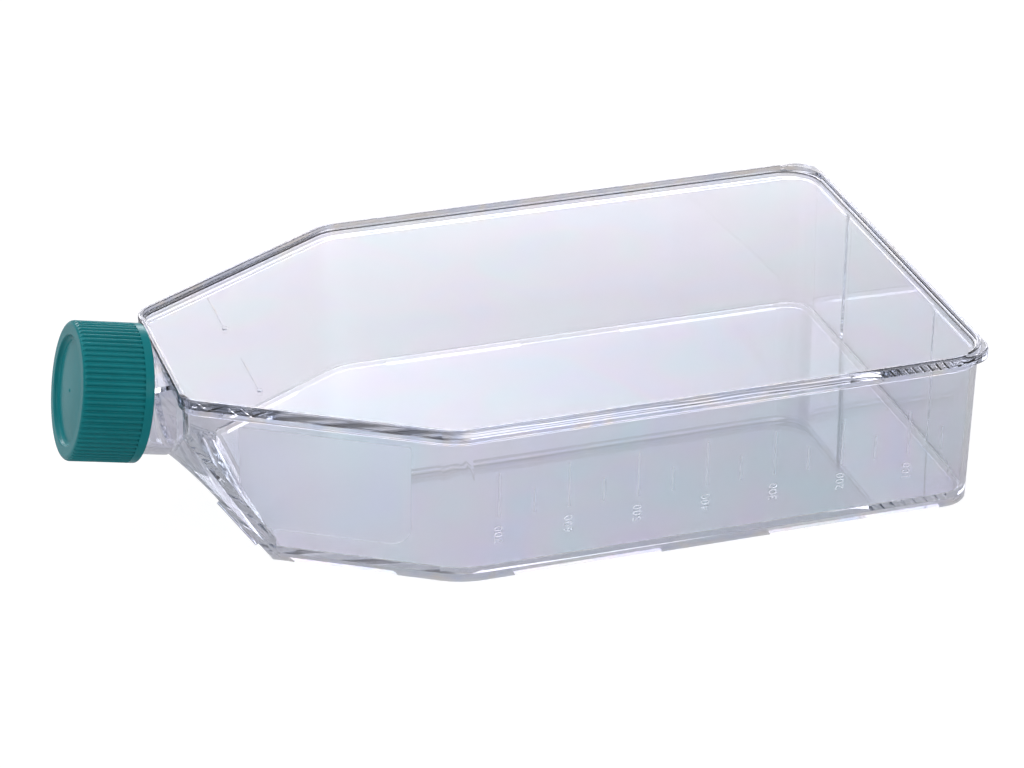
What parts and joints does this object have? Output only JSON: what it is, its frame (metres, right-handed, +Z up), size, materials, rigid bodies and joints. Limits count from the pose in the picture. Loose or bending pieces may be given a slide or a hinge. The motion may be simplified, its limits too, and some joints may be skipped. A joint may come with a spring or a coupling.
{
  "type": "cell culture flask",
  "caption": "Clear culture flask with tapered shoulders, a canted neck, ribbed screw cap, welded rimmed top plate and moulded volume scale.",
  "frame": {"origin": "centre of the bounding box, on the bench under the flask", "axes": "+X from the cap to the rear end, -Y towards the graduated side, +Z up"},
  "size_m": [0.2464, 0.1362, 0.0596],
  "materials": {
    "clear_tub": "clear gloss",
    "clear_plate": "clear gloss",
    "cap": "satin moulded",
    "liner": "matte foam"
  },
  "bodies": {
    "flask": {"flask_tub": "clear_tub", "top_plate": "clear_plate"},
    "seal": {"cap_liner": "liner"},
    "cap": {"screw_cap": "cap"}
  },
  "joints": [
    {"name": "cap_lift", "type": "slide", "parent": "flask", "child": "seal", "axis": [-0.981, 0, 0.1942], "range_m": [0, 0.021]},
    {"name": "cap_turn", "type": "hinge", "parent": "seal", "child": "cap", "pos_m": [-0.11977, 0, 0.0411], "axis": [-0.981, 0, 0.1942], "range_deg": [0, 1801]}
  ],
  "couplings": [
    {"joint": "cap_turn", "follows": "cap_lift", "rad_per_m": 1496}
  ]
}
